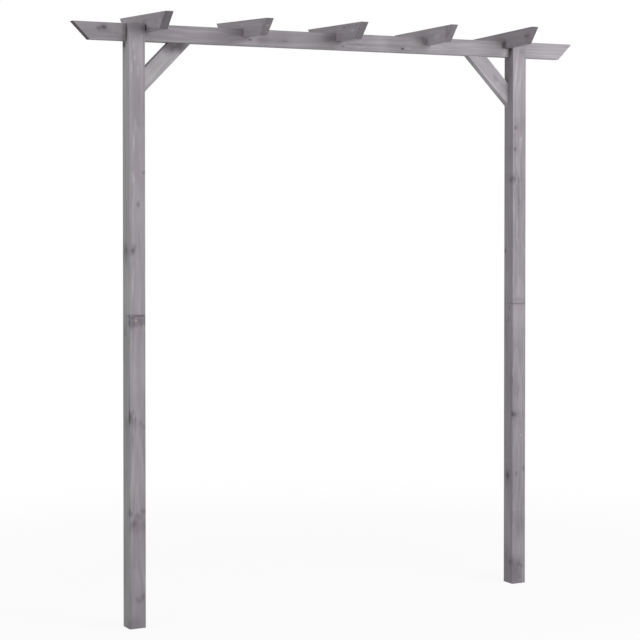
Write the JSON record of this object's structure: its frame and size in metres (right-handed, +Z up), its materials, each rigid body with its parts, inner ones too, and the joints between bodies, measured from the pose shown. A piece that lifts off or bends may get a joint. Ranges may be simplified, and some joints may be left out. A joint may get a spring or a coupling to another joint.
{
  "type": "wooden pergola arch",
  "caption": "Garden pergola arch of grey stained softwood: two square posts, a beam let into their heads, rafters notched across it and mitred corner braces.",
  "frame": {"origin": "middle of the left post's foot, on the ground", "axes": "+Z up the posts, +X along the beam from the left post to the right post, the front of the arch faces -Y"},
  "size_m": [2.005, 0.404, 2.062],
  "materials": {
    "post_timber": "matt grey wood stain",
    "beam_timber": "matt grey wood stain",
    "rafter_timber": "matt grey wood stain",
    "brace_timber": "matt grey wood stain"
  },
  "bodies": {
    "root": {"left_post_lower": "post_timber", "left_post_upper": "post_timber", "right_post_lower": "post_timber", "right_post_upper": "post_timber", "left_beam": "beam_timber", "right_beam": "beam_timber", "rafter_1": "rafter_timber", "rafter_2": "rafter_timber", "rafter_3": "rafter_timber", "rafter_4": "rafter_timber", "rafter_5": "rafter_timber", "left_brace": "brace_timber", "right_brace": "brace_timber"}
  },
  "joints": []
}
